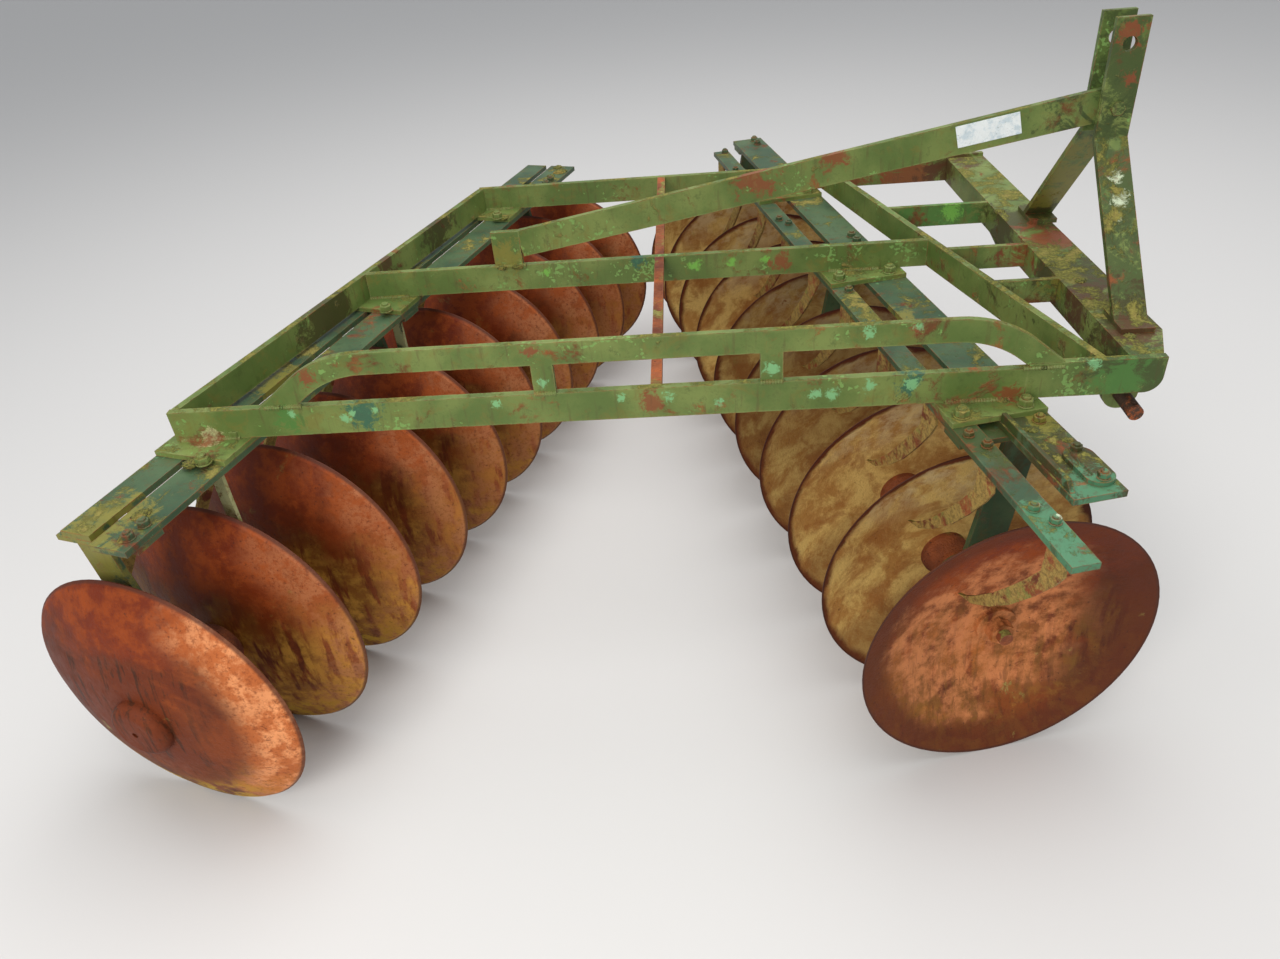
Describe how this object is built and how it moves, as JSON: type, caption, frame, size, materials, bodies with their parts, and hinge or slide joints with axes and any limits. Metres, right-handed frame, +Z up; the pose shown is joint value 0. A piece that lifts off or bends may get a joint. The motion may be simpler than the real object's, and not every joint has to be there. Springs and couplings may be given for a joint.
{
  "type": "disc harrow",
  "caption": "Mounted offset disc harrow: gangs of dished discs set in a V under a welded flat-bar frame, with a three-point mast at the front.",
  "frame": {"origin": "on the ground under the middle of the machine's bounding box", "axes": "+X forward towards the hitch, +Y to the machine's left, +Z up"},
  "size_m": [2.1086, 2.1966, 1.195],
  "materials": {
    "green_paint": "weathered green paint with moss, chips and rust",
    "teal_paint": "weathered teal green paint with moss and rust",
    "rusty_disc": "rusted disc steel with dried soil and streaks",
    "rusty_casting": "rusted cast iron",
    "rusty_steel": "rusted steel"
  },
  "bodies": {
    "frame": {"near_side_bar": "green_paint", "middle_bar": "green_paint", "far_side_bar": "green_paint", "rear_member": "green_paint", "inner_rail": "green_paint", "front_channel": "green_paint", "end_plates": "green_paint", "rail_links": "green_paint", "tie_strip": "rusty_steel", "arch_bar": "green_paint", "mast_near_leg": "green_paint", "mast_far_leg": "green_paint", "mast_brace": "green_paint", "brace_foot": "green_paint", "brace_bolt": "green_paint", "hitch_plates": "green_paint", "hitch_pins": "rusty_steel", "front_inner_beam": "teal_paint", "front_outer_beam": "teal_paint", "front_saddles": "green_paint", "front_hangers": "teal_paint", "front_scrapers": "rusty_steel", "rear_inner_beam": "teal_paint", "rear_outer_beam": "teal_paint", "rear_saddles": "green_paint", "rear_hangers": "teal_paint", "rear_scrapers": "rusty_steel"},
    "front_gang": {"front_discs": "rusty_disc", "front_spools": "rusty_casting", "front_gang_bolt": "rusty_steel", "front_end_nuts": "rusty_steel"},
    "rear_gang": {"rear_discs": "rusty_disc", "rear_spools": "rusty_casting", "rear_gang_bolt": "rusty_steel", "rear_end_nuts": "rusty_steel"}
  },
  "joints": [
    {"name": "front_gang_spin", "type": "hinge", "parent": "frame", "child": "front_gang", "pos_m": [0.75227, -0.88269, 0.28], "axis": [-0.2096, 0.9778, 0], "continuous": true},
    {"name": "rear_gang_spin", "type": "hinge", "parent": "frame", "child": "rear_gang", "pos_m": [-0.78873, -0.94469, 0.28], "axis": [0.3007, 0.9537, 0], "continuous": true}
  ]
}
